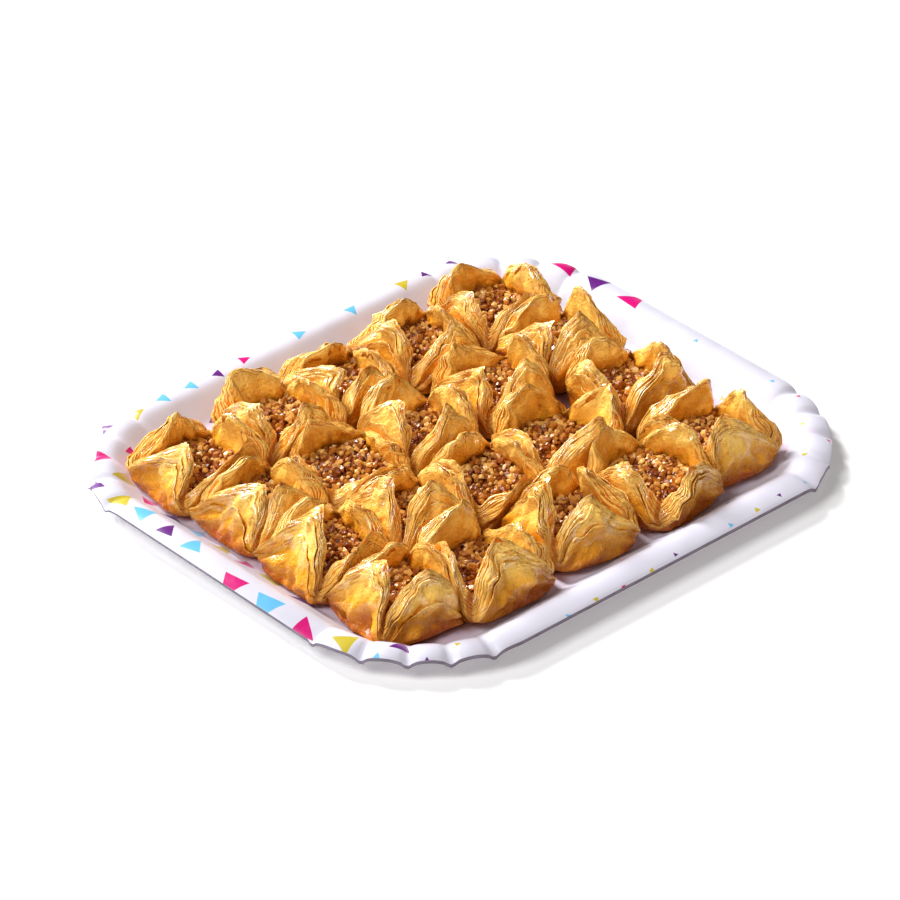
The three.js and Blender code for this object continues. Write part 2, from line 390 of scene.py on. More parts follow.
plate = {
    "halfLength": 140,
    "halfWidth": 119.5,
    "cornerRadius": 60.6,
    "cornerSteps": 60,
    "thickness": 1.2,
    "underside": linear(214, 208, 218),
    "edge": linear(132, 122, 138),
    "hem": (-0.45, 0.55),  # how much thicker the board looks at its edge, behind and in front
    "hemRun": 2.5,
    # creases between the flutes of each corner, in degrees from its +X or -X side
    "creases": {(1, 1): (9, 27, 45, 63, 81), (-1, 1): (9, 27, 45, 63, 81),
                (-1, -1): (2, 24.5, 43, 60, 77.5), (1, -1): (9, 27, 45, 63, 81)},
    "fluteHalf": 9,  # degrees from a crease to the middle of a flute
    "fluteRun": 22,  # how far in from the edge the flutes run out
    "fluteDrop": 1.8,  # how much lower the rim is at the sides of a flute
    "groove": (1.9, 1.4),  # half the width of a crease in degrees, and its depth
    # run from the outer edge inwards, and height of the upper face
    "profile": [(0, 10.2), (0.7, 10.6), (1.6, 10.95), (3, 11.4), (5, 11.8), (7, 11.95), (9, 11.8),
                (10.8, 11.35), (12.4, 10.5), (14, 9.3), (15.8, 7.8), (17.6, 6.3), (19.4, 4.8),
                (21, 3.5), (22.4, 2.4), (23.8, 1.6), (25.4, 1.2)],
    "bowFade": 4,  # the higher, the nearer to the edge the bow begins
    # how far the sides bow outwards: place along the side, and out
    "bows": {
        "+X": [(-100, -2.4), (-60, -1.8), (-20, 0.4), (0, 1.4), (45, 3), (95, 1)],
        "-X": [(-119, -7), (-100, -5), (-75, -2), (-50, -1.6), (0, -1.6), (90, -1)],
        "+Y": [(-120, 0.4), (0, 1), (80, 1.4), (130, 0.6)],
        "-Y": [(-138, -8), (-120, -5.5), (-100, -2.6), (-80, -0.4), (-40, 2.8), (-10, 4.4),
               (90, 4.4), (120, 1)],
    },
}


def makePlate():
    bpy.ops.mesh.primitive_plane_add(size=2)
    board = bpy.context.object
    board.scale = (plate["halfLength"] * millimetre, plate["halfWidth"] * millimetre, 1)
    bpy.ops.object.transform_apply(scale=True)
    editAll()
    bpy.ops.mesh.bevel(offset=plate["cornerRadius"] * millimetre, segments=plate["cornerSteps"],
                       affect="VERTICES")
    bpy.ops.mesh.select_all(action="SELECT")
    runs = [point[0] for point in plate["profile"]]
    for last, run in zip(runs, runs[1:]):
        bpy.ops.mesh.inset(thickness=(run - last) * millimetre)
    bpy.ops.object.mode_set(mode="OBJECT")

    # the rim is pressed to its profile, and its corners into flutes
    points = readPoints(board) / millimetre
    corner = np.array([plate["halfLength"], plate["halfWidth"]]) - plate["cornerRadius"]
    past = np.abs(points[:, :2]) - corner
    outside = np.linalg.norm(np.maximum(past, 0), axis=1)
    run = plate["cornerRadius"] - outside - np.minimum(past.max(axis=1), 0)
    angle = np.degrees(np.arctan2(past[:, 1], past[:, 0]))
    fromCrease = np.full(len(points), 90.0)
    for (signX, signY), creases in plate["creases"].items():
        here = (points[:, 0] * signX > 0) & (points[:, 1] * signY > 0)
        fromCrease[here] = np.abs(angle[here, None] - creases).min(axis=1)
    arch = np.sin(np.clip(fromCrease / plate["fluteHalf"], 0.1, 1) * math.pi / 2)
    halfWidth, groove = plate["groove"]
    crease = plate["fluteDrop"] * (1 - arch) + groove * np.exp(-(fromCrease / halfWidth) ** 2)
    crease *= np.clip(1 - run / plate["fluteRun"], 0, 1)
    points[:, 2] = np.interp(run, *np.array(plate["profile"]).T) - crease
    # by hand and by its load the rim is a little out of square
    shares = points[:, :2] / [plate["halfLength"], plate["halfWidth"]]
    for axis, letter in enumerate("XY"):
        for sign in (1, -1):
            table = np.array(plate["bows"][("+" if sign > 0 else "-") + letter]).T
            share = np.clip(shares[:, axis] * sign, 0, 1) ** plate["bowFade"]
            points[:, axis] += sign * share * np.interp(points[:, 1 - axis], *table)
    writePoints(board, points * millimetre)

    # a copy of the face, straight below it, is the underside, and the cut edge joins the two
    board.data.materials.append(makePrintedBoard())
    board.data.materials.append(makeBareBoard("plainUnderside", plate["underside"], (1, 1, 1)))
    board.data.materials.append(makeBareBoard("rawBoardEdge", plate["edge"], (0.1, 0.1, 0.6)))
    upper = len(points)
    editAll()
    bpy.ops.mesh.extrude_region_move(
        TRANSFORM_OT_translate={"value": (0, 0, -plate["thickness"] * millimetre)})
    bpy.ops.mesh.select_all(action="SELECT")
    bpy.ops.mesh.normals_make_consistent(inside=False)
    bpy.ops.object.mode_set(mode="OBJECT")
    points = readPoints(board)
    front = np.clip(0.5 - shares[:, 1] / 2, 0, 1)
    hem = plate["hem"][0] + (plate["hem"][1] - plate["hem"][0]) * front
    points[upper:, 2] -= hem * millimetre * np.clip(1 - run / plate["hemRun"], 0, 1)
    writePoints(board, points)
    for face in board.data.polygons:
        below = sum(corner >= upper for corner in face.vertices)
        face.material_index = 0 if below == 0 else 1 if below == len(face.vertices) else 2
    bpy.ops.object.shade_smooth_by_angle(angle=math.radians(50))
    board.name = board.data.name = "partyPlate"
    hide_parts("plate")
    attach(board, "root")


makePlate()
print("plate made")


# Nests

fold = {
    "half": 22.5,  # half the side of the base square
    "squareness": 5,
    "innerSquareness": 3.4,
    "rounding": 1.2,  # how much less square a nest is at its top
    "footRound": 3.6,
    "stack": 5.2,  # thickness of the stack of sheets at its foot
    "tipFan": -4,  # what it gains up to its cut edge, at a petal's point
    "pinchFan": 0.9,  # and at a pinch
    "fanCurve": 1.5,
    "shoulder": 12,  # height of the cut edge at the ends of a petal
    "valley": 6.5,  # and at the pinch between two petals
    "pinchAngle": 15,  # half the width of a pinch in degrees
    "pinchReach": 2.2,  # how far a pinch stands out
    "tipRounds": (0.03, 0.16),  # how rounded a petal's point may be
    "belly": 1.6,  # how far a petal bulges half way up
    "footSpread": 2.8,  # how far a petal bulges at its foot
    "innerBelly": 3.0,  # how far the inner face bulges
    "bow": 1.0,  # how far a cut edge may bow up or down between point and pinch
    "innerRise": 0.5,  # how much higher the inner sheets end than the outer
    "innerValleyRise": 5.4,  # and more at a pinch
    "leanCurve": 1.2,
    "squeeze": 2.4,  # how far from a neighbour a nest begins to be pressed flat
    "gap": 0.3,
    "cornerGap": 5.5,  # and the gap to the next nest across a corner
    "diagonal": 55,  # distance from which a neighbour counts as across a corner
}

# the nests where the frame has them: x, y, turn, then rise, lean and slide of the petals on
# the +X, +Y, -X and -Y sides
nestTable = [
    (-92, -62, -8, (27, 25, 29, 29), (9, 13, 12, 7), (0, -4, 4, 2)),
    (-58, -72, -2, (27, 31, 28, 29), (5, 4, 3, 8), (-3, -6, -2, 0)),
    (-6, -72, -10, (28, 27, 32, 29), (10, 8, 12, 8), (4, 0, -3, 0)),
    (40, -74, 9, (28, 28, 26, 25), (6, -3, 2, 1), (-1, 5, 0, -2)),
    (78, -70, -6, (28, 30, 28, 29), (4, 9, -1, 10), (-2, -8, -6, -2)),
    (-93, -21, -4, (27, 27, 32, 26), (8, 8, 17, -2), (0, 0, 0, 6)),
    (-52, -26, -8, (27, 27, 31, 31), (8, 8, 12, 13), (0, 0, -1, 1)),
    (-11, -28, -5, (26, 27, 26, 24), (10, 7, 3, -5), (-1, 1, 2, 1)),
    (30, -28, -9, (30, 30, 24, 30), (-3, 1, 0, 4), (-3, 3, 5, 8)),
    (83, -18, -6, (28, 28, 28, 32), (5, 5, 2, 6), (-1, 2, -3, 9)),
    (-91, 22, -3, (27, 27, 27, 28), (8, 8, 14, 8), (0, 0, 9, -1)),
    (-47, 18, -12, (23, 27, 24, 24), (7, 3, -10, -3), (-8, 8, 0, 0)),
    (-8, 17, -6, (28, 30, 31, 30), (4, 2, 12, 7), (-1, 0, 0, 3)),
    (41, 19, -4, (30, 27, 27, 30), (7, 2, 9, 8), (4, 8, 4, 3)),
    (85, 28, -5, (30, 28, 27, 31), (5, 8, 12, 10), (5, -2, 8, 3)),
    (-91, 63, -5, (28, 27, 27, 27), (4, 7, 12, -4), (-1, 1, 6, 11)),
    (-43, 64, -6, (27, 28, 27, 27), (8, 1, 6, 6), (0, 9, 4, -2)),
    (-5, 68, -8, (24, 26, 26, 27), (10, 10, 12, 5), (-4, 0, 8, 1)),
    (41, 69, -6, (26, 27, 28, 28), (12, 7, 9, 3), (1, 0, 2, 5)),
    (86, 68, -4, (28, 27, 27, 27), (3, 3, 6, 3), (-1, 5, 3, 2)),
]


def pressFlat(nest, x, y):
    # neighbours press each other flat along the line half way between them
    for other in nestTable:
        away = np.array(other[:2], float) - nest[:2]
        distance = np.linalg.norm(away)
        if other is nest or distance > 4 * fold["half"]:
            continue
        away /= distance
        squeeze = fold["squeeze"]
        gap = fold["gap"] if distance < fold["diagonal"] else fold["cornerGap"]
        past = (x - nest[0]) * away[0] + (y - nest[1]) * away[1] - distance / 2 + gap / 2
        shift = np.where(past > -squeeze, -squeeze * np.exp(-(past + squeeze) / squeeze) - past, 0)
        x = x + shift * away[0]
        y = y + shift * away[1]
    return x, y


creasing = {
    "radius": 28,  # of the ring on which a nest's unevenness is drawn
    "warps": [(17, 1.3), (8, 0.6), (4.2, 0.2)],  # size and depth of lumps that all sheets share
    "lumps": [(9, 0.9), (5, 0.5), (2.4, 0.2)],  # and of those of one nest
    "pillows": [(8, 1.1), (4, 0.5)],  # rounded bulges with sharp creases between them
    "flatness": 0.6,  # what is taken off a bulge, so that it stands out as much as in
    "blister": (3.8, 1.2),
    "blisterFrom": 0.25,  # the higher, the fewer blisters
    "folds": 6.0,  # how closely the folds that fan out from a pinch lie
    "foldDepth": 1.25,
    "foldStart": (3, 6),  # distance from the pinch where they begin, and run to their full depth
    "foldEnd": (2, 7),  # and the same from the middle of the petal
    "footRun": 6,  # height below which the sheets are smoother
}


def warp(points):
    # lumps that run through all that lies close together
    for place, (size, depth) in enumerate(creasing["warps"]):
        share = np.clip(points[:, 2:] / 12, 0, 1)
        shifts = [ripple(points, size, 10 * place + axis) * depth for axis in range(3)]
        points = points + np.stack(shifts, axis=1) * share * [1, 1, 0.6]
    return points


def ringPlace(angle, height):
    # where the unevenness of a nest is read, for an angle round it
    around = np.radians(angle)
    radius = creasing["radius"]
    return np.stack([radius * np.cos(around), radius * np.sin(around), height + 0 * around], axis=1)


def crumple(number, angle, height):
    # how far a sheet stands out or in for its lumps, blisters and folds
    place = ringPlace(angle, height)
    out = sum(ripple(place, size, 300 * number + rank) * depth
              for rank, (size, depth) in enumerate(creasing["lumps"]))
    for rank, (size, depth) in enumerate(creasing["pillows"]):
        bulge = np.abs(ripple(place, size, 300 * number + 20 + rank))
        out += (bulge - creasing["flatness"]) * depth
    size, depth = creasing["blister"]
    out += np.maximum(0, ripple(place, size, 300 * number + 9) - creasing["blisterFrom"]) * depth

    # folds fan out from the foot of each pinch and fade towards the middle of the petal
    half = np.floor(angle / 45).astype(int) % 8
    fromPinch = (45 - np.abs(angle - np.round(angle / 90) * 90)) / 45 * fold["half"]
    bearing = np.arctan2(height - 2, fromPinch + 1)
    distance = np.hypot(height - 2, fromPinch + 1)
    starts = np.random.default_rng(900 + number).uniform(0, math.pi, 8)[half]
    ridges = 1 - 2 * np.abs(np.sin(bearing * creasing["folds"] + starts))
    (start, startRun), (end, endRun) = creasing["foldStart"], creasing["foldEnd"]
    fade = np.clip((distance - start) / startRun, 0, 1)
    fade *= np.clip((fold["half"] - end - fromPinch) / endRun, 0, 1)
    out += ridges * fade * creasing["foldDepth"]
    return out * np.clip(height / creasing["footRun"], 0, 1)


def nestPoints(number, angle, level, depth, drop=0, swell=0):
    # points of a folded nest. The angle goes round it in degrees, level goes from the foot of
    # the wall at 0 to its cut edge at 1, and depth from the outer sheet at 0 to the inner at 1
    nest = nestTable[number]
    centreX, centreY, turn, rises, leans, slides = nest
    draw = np.random.default_rng(60 + number)
    side = np.round(angle / 90).astype(int)
    offset = np.radians(angle - side * 90)
    across = np.abs(np.tan(offset))
    rise, lean, slide = (np.array(given, float)[side % 4] for given in (rises, leans, slides))
    bow = draw.uniform(-1, 1, 8)[np.floor(angle / 45).astype(int) % 8] * fold["bow"]
    soft = draw.uniform(*fold["tipRounds"], 4)[side % 4]
    pinchWidth = np.radians(fold["pinchAngle"] * (1 - 0.5 * depth))
    pinch = np.exp(-((math.pi / 4 - np.abs(offset)) / pinchWidth) ** 2)
    slope = (np.hypot(across, soft) - soft) / (np.hypot(1, soft) - soft)
    outerTop = rise + (fold["shoulder"] - rise) * slope
    outerTop -= (fold["shoulder"] - fold["valley"]) * pinch
    outerTop += bow * np.sin(math.pi * across)
    top = outerTop + depth * (fold["innerRise"] + fold["innerValleyRise"] * pinch) - drop
    floor = depth * fold["stack"]
    z = floor + level * (top - floor)
    share = z / rise
    body = 1 - across ** 2

    foot = fold["footRound"] * np.maximum(0, 1 - z / fold["footRound"]) ** 2
    fan = fold["tipFan"] + (fold["pinchFan"] - fold["tipFan"]) * across ** fold["fanCurve"]
    half = fold["half"] - foot - depth * (fold["stack"] + fan * level)
    square = fold["squareness"] + (fold["innerSquareness"] - fold["squareness"]) * depth
    square = square - fold["rounding"] * np.clip(z / fold["shoulder"], 0, 1)
    corner = (np.abs(np.cos(offset)) ** square + np.abs(np.sin(offset)) ** square) ** (-1 / square)
    reach = np.minimum(z / fold["valley"], 1.2) * (fold["pinchReach"] + 2 * depth) * pinch
    swelling = fold["belly"] * np.sin(math.pi * share) * body
    swelling += fold["footSpread"] * (1 - depth) * np.clip(1 - share, 0, 1) ** 1.5 * body
    swelling -= fold["innerBelly"] * depth * np.sin(math.pi * np.clip(level, 0, 1)) * body
    creased = crumple(number, angle, z) * (1 - 0.4 * depth)
    radius = half * corner + reach + swelling + swell + creased
    bend = np.maximum(share, 0) ** fold["leanCurve"] * body

    facing = np.radians(side * 90 + turn)
    bearing = np.radians(angle + turn)
    x = centreX + radius * np.cos(bearing) - bend * (lean * np.cos(facing) + slide * np.sin(facing))
    y = centreY + radius * np.sin(bearing) - bend * (lean * np.sin(facing) - slide * np.cos(facing))
    x, y = pressFlat(nest, x, y)
    points = np.stack([x, y, plate["thickness"] + fold["gap"] + z], axis=1)
    return warp(points), top - z


sheets = {
    "bodyStations": 168,  # points round a nest
    "stations": 128,
    "wallSteps": 24,
    "innerSteps": 8,
    "leaves": 9,  # cut edges that stand in the stack between the outer and the inner face
    "leafSteps": 2,
    "leafReach": 0.2,  # how far down into the stack a leaf reaches
    "lip": 0.072,  # thickness of a leaf as a share of the stack's
    "leafDrop": 0.7,  # how much shorter than its neighbours a leaf may be
    "thickness": 0.4,  # of an outermost sheet
    "skinSteps": 8,
    "skinFoot": 0.15,  # share of the wall below the outermost sheets
    "recess": (0.5, 1.2),  # depth of the stack between the outer and inner cut edge
    "crowding": 0.45,  # how much closer the points lie at the points and pinches
    "flutter": 0.3,  # how far a sheet sways at its cut edge
    "sways": (11, 4.5),  # and in what lengths
    "ragged": (2.4, 0.22),  # size and depth of the fine unevenness of a cut edge
    "torn": (5, 1.0),  # and of its torn places
    "shortest": 3.2,  # how far the outer sheets may end below the inner ones
    "skinDrops": [(1.5, 4.5), (4, 11)],  # how far below the cut edge the outermost sheets end
    "skinTear": 1.4,  # how much more torn they are than the others
    "skinStand": (0.5, 1.6),  # and how far they may stand off
}


def makeSkin(name, stations, rows):
    # a grid laid over a nest, round it and along the given rows of points, and merged. Each row
    # is a function of the angle round the nest, which gives points and depths below the cut edge,
    # with the share to which it lies between other sheets
    bpy.ops.mesh.primitive_grid_add(x_subdivisions=stations, y_subdivisions=len(rows) - 1, size=2)
    skin = bpy.context.object
    grid = (readPoints(skin)[:, :2] + 1) / 2
    eighth = grid[:, 0] * 8
    angle = 45 * (eighth - sheets["crowding"] * np.sin(2 * math.pi * eighth) / (2 * math.pi))
    rank = np.round(grid[:, 1] * (len(rows) - 1)).astype(int)
    points = np.zeros((len(grid), 3))
    below = np.zeros(len(grid))
    between = np.zeros(len(grid))
    for place, (row, share) in enumerate(rows):
        chosen = rank == place
        points[chosen], below[chosen] = row(angle[chosen])
        between[chosen] = share
    writePoints(skin, points * millimetre)

    # the map runs along the sheet, and down from its cut edge, in centimetres
    loops = np.empty(len(skin.data.loops), dtype=int)
    skin.data.loops.foreach_get("vertex_index", loops)
    lengths = np.stack([np.radians(angle) * 2.8, below / 10], axis=1)
    skin.data.uv_layers[0].uv.foreach_set("vector", lengths[loops].ravel())
    skin.data.attributes.new("between", "FLOAT", "POINT").data.foreach_set("value", between)

    editAll()
    bpy.ops.mesh.remove_doubles(threshold=0.005 * millimetre)
    bpy.ops.mesh.normals_make_consistent(inside=False)
    bpy.ops.object.mode_set(mode="OBJECT")
    skin.name = name
    return skin


def unevenCut(number, order, angle):
    # how far below the petal's outline a sheet is cut, with its torn places
    place = ringPlace(angle, 7 * order)
    (fineSize, fine), (tornSize, torn) = sheets["ragged"], sheets["torn"]
    return (fine * ripple(place, fineSize, 900 + number)
            + torn * np.maximum(0, ripple(place, tornSize, 1300 + number) - 0.6))


def flutterOf(number, order, angle):
    # how far a sheet sways in or out at its cut edge
    place = ringPlace(angle, 9 * order)
    wide, narrow = sheets["sways"]
    sway = ripple(place, wide, 20 + number) + 0.7 * ripple(place, narrow, 50 + number)
    return sheets["flutter"] * sway


def leafFlutter(number, order, depth, angle):
    # near a face a leaf follows that face
    faces = flutterOf(number, 0, angle) * (1 - depth)
    faces = faces + flutterOf(number, sheets["leaves"] + 1, angle) * depth
    return faces + flutterOf(number, order, angle) * 4 * depth * (1 - depth)


def petalOf(angle):
    return np.round(angle / 90).astype(int) % 4


def outerShare(angle):
    # how much a drop of the outer sheets counts: all over a petal but not at the pinches
    return 1 - np.abs(angle / 90 - np.round(angle / 90)) ** 3 * 8


def makeBody(number):
    # the outer and the inner face, with the stack between them lower than both cut edges
    draw = np.random.default_rng(1000 * number + 17)
    last = sheets["leaves"] + 1
    shorts = draw.uniform(0.1, 1, 4) * sheets["shortest"]
    nest = nestTable[number]

    def edgeDrop(angle, depth):
        shorter = shorts[petalOf(angle)] * outerShare(angle) * (1 - depth) ** 1.5
        return shorter + unevenCut(number, last * round(depth), angle)

    def wallRow(level, depth, edge, sink=0.0):
        def row(angle):
            drop = edgeDrop(angle, edge)
            if sink:
                low, high = sheets["recess"]
                uneven = ripple(ringPlace(angle, 0), 7, 77 + number)
                deeper = (high - low) * np.clip(uneven + 0.5, 0, 1)
                drop = drop + low + deeper * outerShare(angle)
            swell = flutterOf(number, 0 if edge < 0.5 else last, angle) * level ** 2
            return nestPoints(number, angle, level, depth, drop, swell)
        return row

    def flatRow(depth, inwards):
        def row(angle):
            points, below = nestPoints(number, angle, 0.0, depth)
            points[:, :2] = np.array(nest[:2]) + (points[:, :2] - nest[:2]) * inwards
            return points, below + 10 * (1 - inwards)
        return row

    lip = sheets["lip"]
    rows = [flatRow(0, 0), flatRow(0, 0.6)]
    rows += [wallRow(step / sheets["wallSteps"], 0, 0) for step in range(sheets["wallSteps"] + 1)]
    rows.append(wallRow(1, lip, 0))
    valley = [wallRow(1, lip * 1.3, 0, 1), wallRow(1, 0.35, 0, 1), wallRow(1, 0.65, 1, 1),
              wallRow(1, 1 - lip * 1.3, 1, 1)]
    inner = [wallRow(1, 1 - lip, 1)]
    innerSteps = sheets["innerSteps"]
    inner += [wallRow(1 - step / innerSteps, 1, 1) for step in range(innerSteps + 1)]
    inner += [flatRow(1, 0.5), flatRow(1, 0)]
    rows = [(row, 0) for row in rows] + [(row, 1) for row in valley] + [(row, 0) for row in inner]
    return makeSkin("body", sheets["bodyStations"], rows)


def makeLeaf(number, order):
    # the cut edge of one sheet in the stack
    draw = np.random.default_rng(1000 * number + 17)
    shorts = draw.uniform(0.1, 1, 4) * sheets["shortest"]
    spacing = np.cumsum(np.random.default_rng(500 + number).uniform(0.6, 1.4, sheets["leaves"] + 1))
    depth = (spacing / spacing[-1])[order - 1]
    own = np.random.default_rng(100 * number + order).uniform(0, 1, 4)

    def row(share, inside):
        def place(angle):
            petal = petalOf(angle)
            shorter = shorts[petal] * (1 - depth) ** 1.5 + own[petal] ** 2 * sheets["leafDrop"]
            shorter *= outerShare(angle)
            drop = shorter + unevenCut(number, order, angle)
            swell = leafFlutter(number, order, depth, angle)
            level = 1 - sheets["leafReach"] * share
            ownDepth = depth + (inside - 0.5) * sheets["lip"]
            return nestPoints(number, angle, level, ownDepth, drop, swell)
        return place, share ** 0.4

    steps = sheets["leafSteps"]
    rows = [row((1 - step / steps) ** 1.5, 0) for step in range(steps + 1)]
    rows += [row((step / steps) ** 1.5, 1) for step in range(steps + 1)]
    rows.append(row(1, 0))
    return makeSkin("leaf", sheets["stations"], rows)


def makeOuterSheet(number, order):
    # one of the outermost sheets, torn lower than the rest, that stands off at its edge
    draw = np.random.default_rng(3000 + 50 * order + number)
    drops = draw.uniform(*sheets["skinDrops"][order], 4)
    stands = draw.uniform(*sheets["skinStand"], 4)

    def row(share, inside):
        def place(angle):
            petal = petalOf(angle)
            cut = unevenCut(number, 31 + order, angle)
            drop = drops[petal] * (0.1 + 0.9 * outerShare(angle)) + sheets["skinTear"] * cut
            stand = stands[petal] * outerShare(angle) * share ** 4 + 0.9 * share ** 0.5 - 0.6
            swell = stand + 0.3 * order - inside * sheets["thickness"]
            foot = sheets["skinFoot"]
            return nestPoints(number, angle, foot + (1 - foot) * share, 0, drop, swell)
        return place, 0

    steps = sheets["skinSteps"]
    rows = [row(1 - (1 - step / steps) ** 1.4, 0) for step in range(steps + 1)]
    rows += [row(1 - (step / steps) ** 1.4, 1) for step in range(steps + 1)]
    rows.append(row(0, 0))
    return makeSkin("outer", sheets["stations"], rows)


syrupCoat = {
    "pools": (0.36, 0.54),
    "dryRoughness": 0.4,
    "smoothing": 0.24,  # how much less rough it is in a pool
    "fine": 0.2,
}


def makeSyrupGroup():
    # a thin coat of syrup: how much there is, how rough it lies, and its height
    group, given, result = newGroup(
        "syrupCoat", [("Vector", "Vector"), ("Scale", "Float")],
        [("Amount", "Float"), ("Roughness", "Float"), ("Height", "Float")],
    )
    scaled = addNode(group, "ShaderNodeVectorMath", given["Vector"], operation="SCALE")
    setInputs(group, scaled, {"Scale": given["Scale"]})
    pools = noise(group, scaled.outputs[0], 1, detail=2)
    fine = noise(group, scaled.outputs[0], 4, detail=3)
    amount = spread(group, pools, *syrupCoat["pools"])
    smoothing = sums(group, "MULTIPLY", amount, syrupCoat["smoothing"])
    relief = sums(group, "MULTIPLY", fine, syrupCoat["fine"])
    setInputs(group, result, {
        "Amount": amount,
        "Roughness": sums(group, "SUBTRACT", syrupCoat["dryRoughness"], smoothing),
        "Height": sums(group, "ADD", pools, relief),
    })
    return group


syrupGroup = makeSyrupGroup()

bakes = {
    "foot": linear(170, 80, 4),
    "wall": linear(246, 172, 44),
    "top": linear(255, 206, 100),
    "pale": linear(255, 210, 112),  # at the cut edge
    # toasted spots, and the painted shade of the lines between the sheets
    "toastedAndGapShade": linear(186, 80, 2),
    "recessShade": linear(222, 126, 18),  # painted shade between the sheets of the stack
    "heights": (0.002, 0.027),  # from the colour of the foot to that of the top; the darker foot is partly browning and partly painted shade
    "stops": (0.0, 0.45, 0.95),
    "patchiness": 1.1,
    "spots": (0.58, 0.76, 0.0, 0.4),
    # centimetres below the cut edge, and strength: of the pale edge, and of the lines of painted
    # shade and relief between the sheets
    "edge": (0.0, 0.3, 0.55, 0.0),
    "lines": (0.05, 0.6, 0.75, 0.04),
    "syrupScale": 260.0,
    "syrupHeights": (0.004, 0.02, 0.1, 1.0),  # there is little syrup at the foot
    "coatRoughness": 0.15,
    "coatIndex": 1.8,
    "specular": 0.2,
    "glow": (1, 0.26, 0.01, 1),  # light that comes through the thin sheets
    "glowStrength": 0.025,
    "relief": 0.0013,
}


def makeBakedSheets():
    material, tree, shader = newMaterial("bakedSheets")
    coordinates = tree.nodes.new("ShaderNodeTexCoord").outputs
    place = coordinates["Object"]
    uv = addNode(tree, "ShaderNodeSeparateXYZ", coordinates["UV"]).outputs
    height = addNode(tree, "ShaderNodeSeparateXYZ", place).outputs[2]
    patches = noise(tree, place, 70, detail=2)
    uneven = sums(tree, "MULTIPLY", sums(tree, "SUBTRACT", patches, 0.5), bakes["patchiness"])
    # browning by height; the darker foot is partly painted shade
    browningAndShade = sums(tree, "ADD", spread(tree, height, *bakes["heights"]), uneven)
    colours = [bakes["foot"], bakes["wall"], bakes["top"]]
    colour = ramp(tree, browningAndShade, list(zip(bakes["stops"], colours)))
    edge = spread(tree, uv[1], *bakes["edge"])
    colour = mixColours(tree, edge, colour, bakes["pale"])
    # painted shade in the recess where a sheet lies between others
    colour = mixColours(tree, attribute(tree, "between"), colour, bakes["recessShade"])
    spots = spread(tree, noise(tree, place, 260, detail=3), *bakes["spots"])
    colour = mixColours(tree, spots, colour, bakes["toastedAndGapShade"])
    # painted shade: dark lines run along the cut edge, where sheet lies on sheet
    stretched = vectors(tree, "MULTIPLY", coordinates["UV"], (0.3, 1.5, 1))
    lines = noise(tree, stretched, 9, detail=3, distortion=0.6)
    strength = spread(tree, uv[1], *bakes["lines"])
    gapShade = sums(tree, "MULTIPLY", spread(tree, lines, 0.5, 0.36), strength)
    colour = mixColours(tree, gapShade, colour, bakes["toastedAndGapShade"])
    syrup = useGroup(tree, syrupGroup, Vector=place, Scale=bakes["syrupScale"])
    syrupShare = spread(tree, height, *bakes["syrupHeights"])
    bumps = sums(tree, "ADD", syrup["Height"], sums(tree, "MULTIPLY", lines, strength))
    setInputs(tree, shader, {
        "Base Color": colour,
        "Roughness": syrup["Roughness"],
        "Coat Weight": sums(tree, "MULTIPLY", syrup["Amount"], syrupShare),
        "Coat Roughness": bakes["coatRoughness"],
        "Coat IOR": bakes["coatIndex"],
        "Specular IOR Level": bakes["specular"],
        "Emission Color": bakes["glow"],
        "Emission Strength": bakes["glowStrength"],
        "Normal": bump(tree, bumps, bakes["relief"]),
    })
    return material


def makeNests():
    material = makeBakedSheets()
    for number in range(len(nestTable)):
        layers = [makeBody(number), makeOuterSheet(number, 0), makeOuterSheet(number, 1)]
        layers += [makeLeaf(number, order) for order in range(1, sheets["leaves"] + 1)]
        nest = joinPieces(layers, f"pastryNest{number + 1:02}")
        nest.data.materials.clear()
        nest.data.materials.append(material)
        nest.data.shade_smooth()
        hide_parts(f"nest_{number + 1:02}")
        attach(nest, "root")


makeNests()
print("nests made")


# Nuts

heaps = {
    "floor": 4.9,  # height of the heap's underside above the nest's
    "height": 13.2,  # of its middle
    "edgeHeight": 9.8,
    "spokes": 48,
    "rows": 16,  # from the middle of the underside out, up, and in over the top
    "sideRows": [0, 3, 4, 5, 7],  # rows of the underside and the side
    "sideReaches": [0, 0.8, 0.84, 0.9, 0.88],  # their share of the way to the nest's wall
    "sideHeights": [7.5, 9.5],  # of the two rows between the underside and the edge of the top
    "relief": 1.1,  # unevenness under the bits
    # a dark tone for the heap under the bits: painted shade in the gaps between them
    "coreShadeTone": 0.08,
    "kinds": 8,
    "chops": 3,
    "chopDepth": (0.35, 0.7),  # distance of a chop from the middle of a bit
    "bits": 175,  # how many bits a heap has at the most
    "tries": 1400,  # and how many places are tried for them
    "bitSize": (0.9, 2.2),
    "spacing": 1.75,
    "late": 0.6,  # share of the tries after which bits go on top of others, and closer
    "lateSpacing": 0.62,
    "lateRise": 0.9,
}


def setTone(piece, tone):
    tones = piece.data.attributes.new("tone", "FLOAT", "POINT").data
    tones.foreach_set("value", np.full(len(tones), tone))


def makeBitKinds():
    # chopped bits of nut: a rounded lump cut flat by a few chops of the knife
    kinds = []
    for kind in range(heaps["kinds"]):
        draw = np.random.default_rng(50 + kind)
        bpy.ops.mesh.primitive_ico_sphere_add(subdivisions=1, radius=1)
        bit = bpy.context.object
        bpy.ops.object.mode_set(mode="EDIT")
        for _ in range(heaps["chops"]):
            way = draw.normal(size=3)
            way /= np.linalg.norm(way)
            bpy.ops.mesh.select_all(action="SELECT")
            bpy.ops.mesh.bisect(plane_co=tuple(way * draw.uniform(*heaps["chopDepth"])),
                                plane_no=tuple(way), use_fill=True, clear_outer=True)
        bpy.ops.mesh.select_all(action="SELECT")
        bpy.ops.mesh.remove_doubles(threshold=0.08)
        bpy.ops.object.mode_set(mode="OBJECT")
        points = readPoints(bit)
        writePoints(bit, (points - points.mean(axis=0)) * draw.uniform(0.75, 1.2, 3))
        kinds.append(bit)
    return kinds


